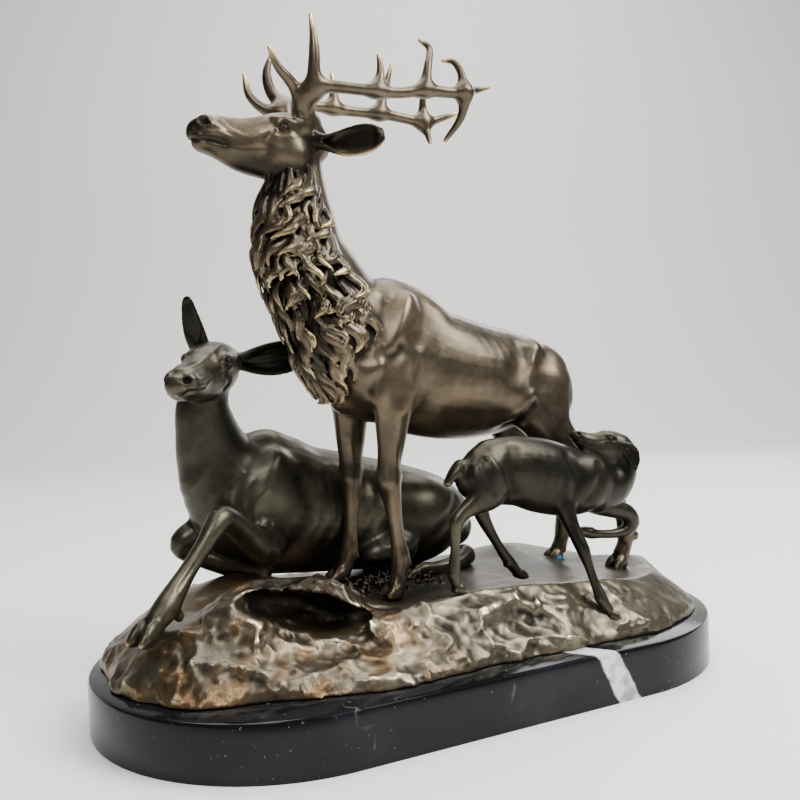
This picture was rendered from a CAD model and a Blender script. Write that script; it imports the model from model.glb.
"""Looks of the deer family sculpture: the chased bronze casting and its polished marble plinth.

Each figure is worked in a block of clay, a field of distances in millimetres, and then cast:
bodies and limbs are lofts melted together, and folds, locks, eyes and hooves are cut into it.
"""

import itertools
import math

import bmesh
import bpy
import numpy as np
import openvdb
from mathutils import Matrix, Vector

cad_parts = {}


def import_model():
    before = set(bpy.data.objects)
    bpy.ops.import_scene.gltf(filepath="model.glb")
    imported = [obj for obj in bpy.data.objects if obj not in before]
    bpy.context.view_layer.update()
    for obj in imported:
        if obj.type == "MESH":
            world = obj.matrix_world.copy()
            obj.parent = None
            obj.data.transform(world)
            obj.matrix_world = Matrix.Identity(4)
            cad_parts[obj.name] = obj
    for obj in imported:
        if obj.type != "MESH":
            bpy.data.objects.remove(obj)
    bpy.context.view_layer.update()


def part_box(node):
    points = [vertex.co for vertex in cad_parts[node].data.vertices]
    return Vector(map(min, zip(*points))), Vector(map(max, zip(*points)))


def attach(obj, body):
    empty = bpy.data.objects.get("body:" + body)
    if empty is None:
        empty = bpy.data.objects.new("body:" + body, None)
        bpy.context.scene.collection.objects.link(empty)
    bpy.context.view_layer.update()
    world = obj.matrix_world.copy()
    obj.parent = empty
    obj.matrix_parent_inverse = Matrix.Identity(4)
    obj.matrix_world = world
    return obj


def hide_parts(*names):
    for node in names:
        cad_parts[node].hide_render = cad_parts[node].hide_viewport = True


MM = 0.001

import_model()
plinth_low, plinth_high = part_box("marble_plinth")
casting_low, casting_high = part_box("bronze_group")

# Heights of the seat and of the ground that the figures stand on
SEAT = casting_low.z
GROUND_RISE = 0.0285
LEVEL = SEAT + GROUND_RISE

# Plan of the slab and of the ground on it, in millimetres
PLINTH_HALF_LENGTH = plinth_high.x / MM
PLINTH_RADIUS = plinth_high.y / MM
PLINTH_CHAMFER = 0.0023
SLAB_ARC_STEPS = 96
GROUND_SIDE_MARGIN = 16
GROUND_END_MARGIN = 7

# Finest form of each piece, in millimetres, and the most triangles it may have
STAG_CELL = 0.75
DOE_CELL = 0.8
FAWN_CELL = 0.65
GROUND_CELL = 0.85
MOST_TRIANGLES = 190000
BAND = 7

# The stag's neck through (x, y, z, half thickness, half width)
STAG_NECK = (
    (-50, 0, 118, 8, 10), (-50, 0, 130, 17, 17), (-50, 0, 145, 25, 22),
    (-51, 0, 160, 31, 23), (-56, 0, 176, 32.5, 23), (-63.5, 0, 192, 29.5, 21),
    (-71, 0, 210, 25.5, 18), (-73, 0, 230, 21.5, 15.5), (-74, 0, 248, 17.5, 14),
    (-75, 0, 264, 16, 13), (-73, 0, 276, 13, 12),
)

# Middles of the stag's hooves
STAG_HOOVES = ((-33, -22, 3), (-51, 20, 6), (139, -27, 0), (121, 20, -1))

# Folds and muscle edges of the stag's trunk: places on one side, width and height
STAG_FOLDS = (
    (((2, 25, 178), (7, 28.5, 158), (5, 29, 136), (-4, 25, 110)), 8.0, -1.4),
    (((-30, 22, 178), (-38, 25, 162), (-47, 25, 146)), 4.5, -1.8),
    (((-24, 28, 150), (-33, 28.5, 138), (-42, 26, 124)), 4.0, -1.8),
    (((-12, 24, 188), (-20, 27.5, 168), (-28, 29, 150)), 4.5, 2.0),
    (((-10, 28, 146), (-16, 29, 130), (-24, 27, 112)), 4.5, 1.5),
    (((-36, 27, 138), (-36, 26, 124), (-33, 24, 112)), 4.0, 1.4),
    (((85, 15, 154), (80, 23, 147), (76, 26, 140)), 3.8, 0.9),
    (((76, 26, 140), (71, 28, 130), (68, 27, 118)), 4.5, 1.2),
    (((76, 19, 153), (68, 25, 144), (61, 27, 132)), 7.5, -1.5),
    (((92, 20, 148), (87, 26, 138), (84, 28, 126)), 6.5, -0.9),
    (((72, 27, 118), (62, 26, 106), (50, 20, 97)), 2.8, 1.6),
    (((74, 27, 110), (66, 24, 101), (58, 20, 95)), 3.2, -1.6),
    (((112, 17, 132), (107, 22, 118), (104, 24, 104), (108, 26, 90)), 4.6, -0.8),
)

# Shares of a toe's length, and its height and width there
TOE_SHAPE = ((0, 0.95, 0.9), (0.35, 1.05, 1.0), (0.7, 0.8, 0.9), (1, 0.42, 0.5))

# Shares of an ear's length, and its width and thickness there
POINTED_EAR = (
    (0.0, 0.42, 3.2), (0.12, 0.6, 2.8), (0.3, 0.9, 2.2), (0.5, 1.0, 1.9), (0.7, 0.84, 1.7),
    (0.86, 0.52, 1.4), (1.0, 0.12, 0.8),
)
BLUNT_EAR = (
    (0.0, 0.60, 4.4), (0.15, 0.52, 3.8), (0.32, 0.72, 2.6), (0.52, 0.95, 1.9), (0.72, 1.0, 1.7),
    (0.88, 0.82, 1.5), (1.0, 0.42, 1.0),
)
WIDE_EAR = (
    (0.0, 0.45, 4.0), (0.15, 0.55, 3.6), (0.32, 0.8, 2.6), (0.52, 1.0, 2.0), (0.72, 1.0, 1.8),
    (0.88, 0.78, 1.5), (1.0, 0.4, 1.0),
)
HIGH_EAR = (
    (0.0, 0.8, 3.6), (0.15, 0.95, 3.2), (0.35, 1.0, 2.6), (0.55, 0.9, 2.2), (0.75, 0.72, 1.9),
    (0.9, 0.56, 1.7), (1.0, 0.32, 1.3),
)

# How many degrees round the neck the mane reaches at each height, and which way its hair
# flows there, in degrees from straight down
MANE_SPREAD = (
    (118, 40), (145, 62), (165, 86), (185, 110), (205, 120), (235, 124), (262, 108),
)
MANE_FLOW = ((118, 10), (150, 14), (168, 4), (185, -14), (205, -34), (235, -40), (262, -12))
MANE_TIERS = 16
MANE_TOP = 258
TIER_DROP = 8.6
LOCK_TURN = 13.5
NECK_REACH = 23

# The ground under the fawn, in metres over the seat
FAWN_RISE = 0.036

# The ledge of the rock, and the hollow under it with its open front, in millimetres
LEDGE_PLACE = (-104, -34)
LEDGE_REACH = (44, 26)
LEDGE_RISE = 21.5
HOLLOW_PLACE = (-101, -56, 6.5)
HOLLOW_RADII = (41, 26, 9.8)
HOLLOW_FRONT = (-107, -82, 2.5)
HOLLOW_FRONT_RADII = (47, 24, 13)
HOLLOW_LEAN = 15

# Hills and dips of the ground: height, place and reach
HILLS = (
    (7, (0, -68), (75, 16)), (-9, (-98, -74), (46, 18)), (13, (-112, 34), (36, 32)),
    (7, (95, 46), (26, 22)), (6, (164, -22), (14, 14)),
)

# Where the ground's patina is darker: place, radius and amount
GROUND_SHADES = (
    ((-30, 2, 3), 34, 1.0), ((88, 4, 0), 62, 0.8), ((150, -6, -8), 40, 0.66),
    ((-8, 0, 3), 30, 0.7), ((-112, -36, 10), 17, 1.2), ((-96, -36, 8), 19, 1.2),
    ((-80, -38, 4), 17, 1.2),
)

# Blue spots of the patina by the stag's hind hooves
BLUE_SPOTS = (((122, 13, -3), 2.8), ((117, 14, -4), 2.0), ((138, -32, -4), 2.2))

# The white vein at the slab's right front, in metres
VEIN_PLACE = 0.0755
VEIN_HALF_WIDTH = 0.0085

# Camera, as found from the slab's outline in the photograph
CAMERA_PLACE = (-0.2589, -0.4879, 0.1875)
CAMERA_TILT = math.radians(88.854)
CAMERA_ROLL = math.radians(2.084)
CAMERA_TURN = math.radians(-27.051)
CAMERA_LENS = 38.49

# Studio lights: place, aim, size and watts
LIGHTS = {
    "key": ((0.85, -0.95, 1.40), (0, 0, 0.15), 0.95, 52),
    "fill": ((-0.65, -1.15, 1.25), (0, 0, 0.18), 0.55, 15),
    "rim": ((1.2, 0.8, 0.9), (0, 0, 0.2), 0.6, 6),
    "top": ((0.3, 0.5, 2.2), (0.3, 0.6, 0), 2.2, 84),
}


def smooth_step(low, high, value):
    """Ease from 0 to 1 while value goes from low to high."""
    share = np.clip((value - low) / (high - low), 0.0, 1.0)
    return share * share * (3 - 2 * share)


def chance(*seeds):
    """Steady number between 0 and 1 for whole or broken seeds."""
    total = sum(seed * step for seed, step in zip(seeds, (12.9898, 78.233, 37.719, 9.151)))
    return (math.sin(total) * 43758.5453) % 1.0


def between(table, value):
    """Row of a table at a value of its first column, by straight lines between rows."""
    for low, high in zip(table, table[1:]):
        if value <= high[0]:
            share = max(0.0, (value - low[0]) / (high[0] - low[0]))
            return [a + (b - a) * share for a, b in zip(low, high)]
    return list(table[-1])


def curved(rows, steps):
    """Rows of numbers joined by a smooth curve, with steps places between each two."""
    rows = np.array(rows, float)
    padded = np.vstack((2 * rows[0] - rows[1], rows, 2 * rows[-1] - rows[-2]))
    found = []
    for index in range(1, len(rows)):
        before, start, end, after = padded[index - 1:index + 3]
        for step in range(steps):
            t = step / steps
            found.append(
                0.5 * (2 * start + (end - before) * t
                       + (2 * before - 5 * start + 4 * end - after) * t * t
                       + (3 * start - before - 3 * end + after) * t ** 3)
            )
    found.append(rows[-1])
    return np.array(found)


def loft(rings, side=(0, 1, 0), steps=4, around=20, square=1.0):
    """Round-ended body through rings of (x, y, z, half thickness, half width across side)."""
    rings = curved(rings, steps)
    sizes = np.maximum(rings[:, 3:5], 0.3)
    centres = rings[:, :3]
    along = np.gradient(centres, axis=0)
    along /= np.linalg.norm(along, axis=1)[:, None]
    thick = np.cross(along, np.array(side, float))
    thick /= np.linalg.norm(thick, axis=1)[:, None]
    wide = np.cross(thick, along)
    angles = np.arange(around) * math.tau / around
    cosine = np.sign(np.cos(angles)) * np.abs(np.cos(angles)) ** square
    sine = np.sign(np.sin(angles)) * np.abs(np.sin(angles)) ** square
    rows = []

    def ring(index, scale, push):
        place = centres[index] + along[index] * push
        return (
            place
            + np.outer(cosine * sizes[index, 0] * scale, thick[index])
            + np.outer(sine * sizes[index, 1] * scale, wide[index])
        )

    dome = [math.radians(angle) for angle in (80, 55, 28)]
    reach = 0.8 * sizes.min(axis=1)
    for angle in dome:
        rows.append(ring(0, math.cos(angle), -reach[0] * math.sin(angle)))
    for index in range(len(rings)):
        rows.append(ring(index, 1, 0))
    for angle in reversed(dome):
        rows.append(ring(-1, math.cos(angle), reach[-1] * math.sin(angle)))
    points = np.vstack(rows + [rows[0].mean(0), rows[-1].mean(0)])
    first = np.arange(len(rows) - 1)[:, None] * around
    here = np.arange(around)
    after = (here + 1) % around
    quads = np.stack(
        (first + here, first + after, first + around + after, first + around + here), -1
    ).reshape(-1, 4)
    low, high = len(points) - 2, len(points) - 1
    last = (len(rows) - 1) * around
    bottom = np.stack((np.full(around, low), after, here), -1)
    top = np.stack((np.full(around, high), last + here, last + after), -1)
    return points, np.vstack((bottom, top)), quads


class Clay:
    """Block of clay: signed distances in millimetres on a grid, less than 0 inside."""

    def __init__(self, low, high, cell):
        self.cell = cell
        self.first = np.floor(np.array(low) / cell).astype(int)
        count = np.ceil(np.array(high) / cell).astype(int) - self.first + 1
        self.field = np.full(count, BAND, np.float32)
        self.depth = None
        self.shades = []
        self.blooms = []

    def window(self, low, high):
        """Slices of the cells between two corners, and their places along each axis."""
        start = np.floor(np.array(low) / self.cell).astype(int) - self.first
        stop = np.ceil(np.array(high) / self.cell).astype(int) - self.first + 1
        start = np.clip(start, 0, self.field.shape)
        stop = np.clip(stop, start, self.field.shape)
        cut = tuple(slice(a, b) for a, b in zip(start, stop))
        axes = [
            ((np.arange(a, b) + base) * self.cell).astype(np.float32)
            for a, b, base in zip(start, stop, self.first)
        ]
        return cut, axes[0][:, None, None], axes[1][None, :, None], axes[2][None, None, :]

    def distances(self, shape):
        """Distances to a closed shape, on the cells near it."""
        points, triangles, quads = shape
        low = points.min(0) - BAND
        high = points.max(0) + BAND
        cut, *_ = self.window(low, high)
        start = np.array([part.start for part in cut])
        size = [part.stop - part.start for part in cut]
        grid = openvdb.FloatGrid.createLevelSetFromPolygons(
            points.astype(np.float32), triangles.astype(np.uint32), quads.astype(np.uint32),
            openvdb.createLinearTransform(self.cell), BAND / self.cell,
        )
        found = np.zeros(size, np.float32)
        if found.size:
            grid.copyToArray(found, tuple(int(value) for value in start + self.first))
        return cut, found

    def melt(self, cut, other, blend):
        """Join distances to the block, with a fillet."""
        here = self.field[cut]
        near = np.maximum(blend - np.abs(here - other), 0) / blend
        self.field[cut] = np.minimum(here, other) - near * near * blend / 4

    def add(self, shape, blend=2.0):
        """Press a shape on to the clay."""
        self.melt(*self.distances(shape), blend)

    def cut(self, shape, blend=1.0):
        """Cut a shape out of the clay."""
        cut, other = self.distances(shape)
        here = self.field[cut]
        near = np.maximum(blend - np.abs(here + other), 0) / blend
        self.field[cut] = np.maximum(here, -other) + near * near * blend / 4

    def ball_distances(self, centre, radii, tilt=0.0, yaw=0.0):
        """Distances to an ellipsoid, turned by tilt about Y and then by yaw about Z."""
        reach = max(radii) + BAND
        centre = np.array(centre, float)
        cut, x, y, z = self.window(centre - reach, centre + reach)
        turn = Matrix.Rotation(math.radians(yaw), 3, "Z")
        turn = np.array(turn @ Matrix.Rotation(math.radians(tilt), 3, "Y")).T
        x, y, z = x - centre[0], y - centre[1], z - centre[2]
        local = [turn[row, 0] * x + turn[row, 1] * y + turn[row, 2] * z for row in range(3)]
        share = np.sqrt(sum((part / radius) ** 2 for part, radius in zip(local, radii)))
        slope = np.sqrt(sum((part / radius ** 2) ** 2 for part, radius in zip(local, radii)))
        return cut, (share * (share - 1) / np.maximum(slope, 1e-3)).astype(np.float32)

    def ball(self, centre, radii, tilt=0.0, yaw=0.0, blend=3.0):
        """Press an ellipsoid on to the clay."""
        self.melt(*self.ball_distances(centre, radii, tilt, yaw), blend)

    def scoop(self, centre, radii, tilt=0.0, yaw=0.0, blend=1.0):
        """Scoop an ellipsoid out of the clay."""
        cut, other = self.ball_distances(centre, radii, tilt, yaw)
        here = self.field[cut]
        near = np.maximum(blend - np.abs(here + other), 0) / blend
        self.field[cut] = np.maximum(here, -other) + near * near * blend / 4

    def skin(self, points):
        """Nearest places on the surface, and the ways out of it there."""
        points = np.atleast_2d(np.array(points, float))
        for _ in range(4):
            value = self.sample(points)
            out = np.stack(
                [self.sample(points + step) - self.sample(points - step) for step in np.eye(3)], 1
            )
            out /= np.linalg.norm(out, axis=1)[:, None] + 1e-6
            points = points - out * np.clip(value, -5, 5)[:, None]
        return points, out

    def shade(self, centre, radius, amount):
        """Darken the patina round a place."""
        self.shades.append((centre, radius, amount))

    def stroke(self, points, width, height, steps=5):
        """Raise a rounded ridge along the skin, or a groove where height is less than 0."""
        points = curved([(*point, 0) for point in points], steps)[:, :3]
        points = self.skin(points)[0]
        reach = 2.6 * width
        cut, x, y, z = self.window(points.min(0) - reach, points.max(0) + reach)
        nearest = np.full(self.field[cut].shape, 1e6, np.float32)
        for start, end in zip(points, points[1:]):
            way = end - start
            length = float(way @ way) + 1e-9
            dx, dy, dz = x - start[0], y - start[1], z - start[2]
            share = np.clip((dx * way[0] + dy * way[1] + dz * way[2]) / length, 0, 1)
            far = (dx - share * way[0]) ** 2 + (dy - share * way[1]) ** 2
            nearest = np.minimum(nearest, far + (dz - share * way[2]) ** 2)
        self.field[cut] -= height * np.exp(-nearest / (width * width))

    def soften(self, rounds):
        """Smooth the whole block a little."""
        for _ in range(rounds):
            for axis in range(3):
                middle = np.moveaxis(self.field, axis, 0)
                inner = 0.25 * (middle[:-2] + middle[2:]) + 0.5 * middle[1:-1]
                middle[1:-1] = inner

    def sample(self, points):
        """Distances at any places, read between the cells."""
        places = points / self.cell - self.first
        places = np.clip(places, 0, np.array(self.field.shape) - 1.001)
        base = places.astype(int)
        part = (places - base).astype(np.float32)
        total = np.zeros(len(points), np.float32)
        for corner in range(8):
            step = np.array((corner & 1, corner >> 1 & 1, corner >> 2 & 1))
            weight = np.prod(np.where(step, part, 1 - part), axis=1)
            index = base + step
            total += weight * self.field[index[:, 0], index[:, 1], index[:, 2]]
        return total

    def cast(self, name):
        """Bronze piece of the block's surface, with its edges and hollows marked on it."""
        grid = openvdb.FloatGrid()
        grid.background = BAND
        grid.copyFromArray(self.field)
        points, quads = grid.convertToQuads(isovalue=0.0)
        points = (points + self.first) * self.cell
        data = bpy.data.meshes.new(name)
        data.vertices.add(len(points))
        data.vertices.foreach_set("co", world(points).astype(np.float32).ravel())
        data.loops.add(quads.size)
        data.loops.foreach_set("vertex_index", quads[:, ::-1].astype(np.int32).ravel())
        data.polygons.add(len(quads))
        data.polygons.foreach_set("loop_start", np.arange(0, quads.size, 4, dtype=np.int32))
        data.update(calc_edges=True)
        piece = bpy.data.objects.new(name, data)
        bpy.context.scene.collection.objects.link(piece)
        if 2 * len(quads) > MOST_TRIANGLES:
            thin = piece.modifiers.new("thin_out", "DECIMATE")
            thin.ratio = MOST_TRIANGLES / (2 * len(quads))
            settle(piece)
        piece.data.polygons.foreach_set("use_smooth", np.ones(len(piece.data.polygons), bool))
        self.mark(piece)
        return piece

    def mark(self, piece):
        """Store how far each place stands out or lies in, and where the patina changes."""
        data = piece.data
        count = len(data.vertices)
        places = np.empty(count * 3, np.float32)
        data.vertices.foreach_get("co", places)
        places = local(places.reshape(-1, 3))
        ways = np.array([way for way in itertools.product((-1, 0, 1), repeat=3) if any(way)], float)
        ways /= np.linalg.norm(ways, axis=1)[:, None]
        for name, reach in (("edge", 1.3), ("recess", 4.5)):
            total = np.zeros(count, np.float32)
            for way in ways:
                total += self.sample(places + way * reach)
            self.store(data, name, total / (len(ways) * reach))
        for name, spots in (("shade", self.shades), ("bloom", self.blooms)):
            total = np.zeros(count, np.float32)
            for centre, radius, amount in spots:
                far = ((places - np.array(centre)) ** 2).sum(1) / radius ** 2
                total += amount * np.exp(-far)
            if name == "shade" and self.depth:
                total += self.depth(places)
            self.store(data, name, total)

    def store(self, data, name, values):
        """Keep a value for each vertex of the mesh."""
        layer = data.attributes.new(name, "FLOAT", "POINT")
        layer.data.foreach_set("value", values.astype(np.float32))


def world(points):
    """Metres in the frame, from millimetres over the ground's level."""
    return np.asarray(points) * MM + np.array((0, 0, LEVEL))


def local(points):
    """Millimetres over the ground's level, from metres in the frame."""
    return (np.asarray(points, float) - np.array((0, 0, LEVEL))) / MM


def settle(piece):
    """Replace a piece's mesh by what its modifiers make of it."""
    graph = bpy.context.evaluated_depsgraph_get()
    data = bpy.data.meshes.new_from_object(piece.evaluated_get(graph))
    piece.modifiers.clear()
    piece.data = data


class Head:
    """A deer's head: places as shares of its length, from the poll to the nose."""

    def __init__(self, clay, poll, nose, lean=0.0):
        self.clay = clay
        self.poll = np.array(poll, float)
        way = np.array(nose, float) - self.poll
        self.length = np.linalg.norm(way)
        self.ahead = way / self.length
        level = np.cross(self.ahead, (0, 0, 1))
        level /= np.linalg.norm(level)
        up = np.cross(level, self.ahead)
        angle = math.radians(lean)
        self.across = level * math.cos(angle) + up * math.sin(angle)
        self.up = np.cross(self.across, self.ahead)

    def at(self, ahead, up, across):
        """Place from shares of the head's length."""
        way = self.ahead * ahead + self.up * up + self.across * across
        return self.poll + way * self.length

    def yaw(self):
        """Turn of the head about Z, from -X."""
        return math.degrees(math.atan2(-self.ahead[1], -self.ahead[0]))

    def skull(self, rings, blend):
        """Skull and muzzle through rings of (ahead, up, half height, half width)."""
        rows = [
            (*self.at(ahead, up, 0), high * self.length, wide * self.length)
            for ahead, up, high, wide in rings
        ]
        self.clay.add(loft(rows, self.across, around=28, square=0.9), blend)

    def line(self, points, width, height):
        """Ridge or groove on both sides of the face."""
        for hand in (-1, 1):
            places = [self.at(ahead, up, hand * across) for ahead, up, across in points]
            self.clay.stroke(places, width * self.length, height * self.length)

    def lump(self, place, radii, tilt, blend):
        """Ellipsoid on both sides of the face."""
        pitch = math.degrees(math.asin(self.ahead[2]))
        for hand in (-1, 1):
            centre = self.at(place[0], place[1], hand * place[2])
            sizes = [radius * self.length for radius in radii]
            self.clay.ball(centre, sizes, tilt + pitch, self.yaw(), blend * self.length)

    def face(self, eye, nostril, mouth, eye_size, nostril_size):
        """Eyes, brows, nostrils, mouth and the folds between them."""
        size = eye_size * self.length
        pitch = math.degrees(math.asin(self.ahead[2]))
        a, u, c = eye
        self.lump((a - 0.02, u + 0.045, c - 0.045), (0.095, 0.05, 0.05), 8, 0.05)
        self.line(((a + 0.07, u - 0.05, c), (a + 0.02, u - 0.075, c), (a - 0.06, u - 0.06, c)),
                  0.030, 0.016)
        half = 1.45 * eye_size
        for hand in (-1, 1):
            place, out = self.clay.skin(self.at(a, u, hand * c))
            place, out = place[0], out[0]
            self.clay.scoop(place, (1.55 * size, 0.8 * size, 1.0 * size), pitch, self.yaw(), 0.7)
            ball = place - out * 0.62 * size
            self.clay.ball(ball, (1.1 * size, 0.95 * size, 0.95 * size), pitch, self.yaw(), 0.2)
            self.clay.shade(place, 1.3 * size, 0.9)
        upper = (
            (a + half, u - 0.014, c), (a + 0.4 * half, u + 0.85 * eye_size, c),
            (a - 0.4 * half, u + 0.90 * eye_size, c), (a - half, u, c),
        )
        lower = (
            (a + half, u - 0.014, c), (a + 0.3 * half, u - 0.95 * eye_size, c),
            (a - 0.5 * half, u - 0.85 * eye_size, c), (a - half, u, c),
        )
        self.line(upper, 0.011, 0.017)
        self.line(lower, 0.010, 0.013)
        self.line([(p[0] - 0.01, p[1] + 0.036, p[2]) for p in upper], 0.016, 0.014)
        gland = ((a + half + 0.01, u - 0.03, c), (a + half + 0.09, u - 0.075, c - 0.03))
        self.line(gland, 0.014, -0.020)
        n, v, w = nostril
        open_size = nostril_size * self.length
        for hand in (-1, 1):
            place, out = self.clay.skin(self.at(n, v, hand * w))
            place = place[0]
            radii = (1.35 * open_size, 0.9 * open_size, 0.8 * open_size)
            self.clay.scoop(place, radii, pitch + 24, self.yaw(), 0.4)
            self.clay.shade(place, 1.5 * open_size, 1.3)
        wing = 1.5 * nostril_size
        rim = (
            (n - wing, v, w), (n - 0.3 * wing, v + wing, w), (n + 0.8 * wing, v + 0.6 * wing, w),
            (n + wing, v - 0.5 * wing, w),
        )
        self.line(rim, 0.012, 0.014)
        m, p, q = mouth
        lips = (
            (1.0, p + 0.035, 0.02), (0.96, p + 0.015, 0.6 * q), (0.5 * (m + 0.96), p, q),
            (m, p - 0.012, q),
        )
        self.line(lips, 0.011, -0.034)
        for share in (0.0, 0.5, 1.0):
            for hand in (-1, 1):
                where = self.at(0.98 + (m - 0.98) * share, p, hand * q)
                self.clay.shade(where, 0.045 * self.length, 0.5)
        self.line([(x, y + 0.026, z) for x, y, z in lips], 0.012, 0.010)
        self.line([(x, y - 0.028, z) for x, y, z in lips], 0.012, 0.008)
        upper_fold = (
            (n - 0.10, v - 0.03, w), (n - 0.22, v - 0.055, w + 0.02), (n - 0.36, v - 0.05, w + 0.04),
        )
        lower_fold = (
            (n - 0.12, v - 0.085, w), (n - 0.25, v - 0.12, w + 0.03),
            (m - 0.14, p + 0.02, q + 0.03),
        )
        for fold in (upper_fold, lower_fold):
            self.line(fold, 0.022, 0.009)

    def ear(self, base, middle, tip, width, facing, shape):
        """Cupped, pointed ear in the block's millimetres, hollow towards facing."""
        base, middle, tip = (np.array(place, float) for place in (base, middle, tip))
        facing = np.array(facing, float)
        facing /= np.linalg.norm(facing)
        across = np.cross(tip - base, facing)
        size = width / 9
        rings = []
        hollow = []
        for share, wide, thick in shape:
            bow = 4 * share * (1 - share)
            place = base + (tip - base) * share + (middle - (base + tip) / 2) * bow
            rings.append((*place, thick * size, width * wide))
            inner = place + facing * (0.7 + 0.5 * thick) * size
            if 0.1 < share < 0.97:
                open_up = min(1.0, (share - 0.05) / 0.35)
                hollow.append((*inner, 1.05 * thick * size, width * wide * 0.82 * open_up))
        self.clay.add(loft(rings, across), 1.2)
        self.clay.cut(loft(hollow, across), 0.5)
        for share in (0.2, 0.4, 0.6, 0.8, 0.98):
            self.clay.shade(base + (tip - base) * share + facing * size, 1.05 * width, 0.62)
        for share in (-0.35, 0.05, 0.4):
            turn = across / np.linalg.norm(across) * share * width
            start = base + (tip - base) * 0.2 + turn * 0.7
            end = base + (tip - base) * 0.72 + turn * 0.8
            mid = (start + end) / 2 + turn * 0.25
            self.clay.stroke([start, mid, end], 0.55, 0.4)


def hoof(clay, heel, toe, spread, size):
    """Cloven hoof: two toes side by side, from the heel under the pastern to the tip."""
    heel = np.array(heel, float)
    toe = np.array(toe, float)
    way = toe - heel
    way[2] = 0
    way /= np.linalg.norm(way)
    across = np.array((-way[1], way[0], 0))
    for hand in (-1, 1):
        rows = []
        for share, high, wide in TOE_SHAPE:
            place = heel + (toe - heel) * share + across * hand * spread * (0.55 + 0.25 * share)
            rows.append((*place, size * high, spread * 0.62 * wide))
        clay.add(loft(rows, across), 0.8)


def dewclaws(clay, place, back, across, size):
    """Two small claws behind the fetlock."""
    place = np.array(place, float)
    for hand in (-1, 1):
        centre = place + np.array(back) * size * 1.5 + np.array(across) * hand * size * 1.0
        clay.ball(centre, (size * 0.9, size * 0.75, size * 1.1), blend=1.5)


# Stag


def stag_body(clay):
    """Trunk, neck and muscles of the standing stag."""
    torso = (
        (-62, 0, 156, 18, 14), (-50, 0, 156, 31, 22), (-34, 0, 152, 44.5, 27),
        (-14, 0, 147, 46, 28), (8, 0, 136, 43, 29.5), (30, 0, 131, 40.5, 30.5),
        (52, 0, 128.5, 37.5, 29), (72, 0, 128.5, 34, 26), (90, 0, 128, 29, 23.5),
        (103, 0, 122, 24, 18.5), (113, 0, 117, 18, 13), (119, 0, 113, 9, 7.5),
    )
    clay.add(loft(torso, steps=5, around=36), 2)
    clay.add(loft(STAG_NECK, steps=5, around=32), 6)
    for hand in (-1, 1):
        clay.ball((-22, hand * 19.5, 152), (11, 8, 32), 24, blend=5)
        clay.ball((-38, hand * 17, 138), (15, 11, 24), -6, blend=5)
        clay.ball((-17, hand * 20, 128), (14, 8.5, 19), 18, blend=4)
        clay.ball((91, hand * 14, 122), (24, 12, 29.5), -12, blend=5)
        clay.ball((79, hand * 17, 148), (9, 5.5, 6), 20, blend=7)
        clay.ball((76, hand * 19, 112), (13, 8, 17), 25, blend=5)
        clay.ball((60, hand * 17, 118), (18, 11, 17), 0, blend=6)
    clay.ball((30, 0, 100), (24, 9, 7), 3, blend=6)
    clay.ball((117, 0, 128), (5, 6, 13), -12, blend=4)


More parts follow.
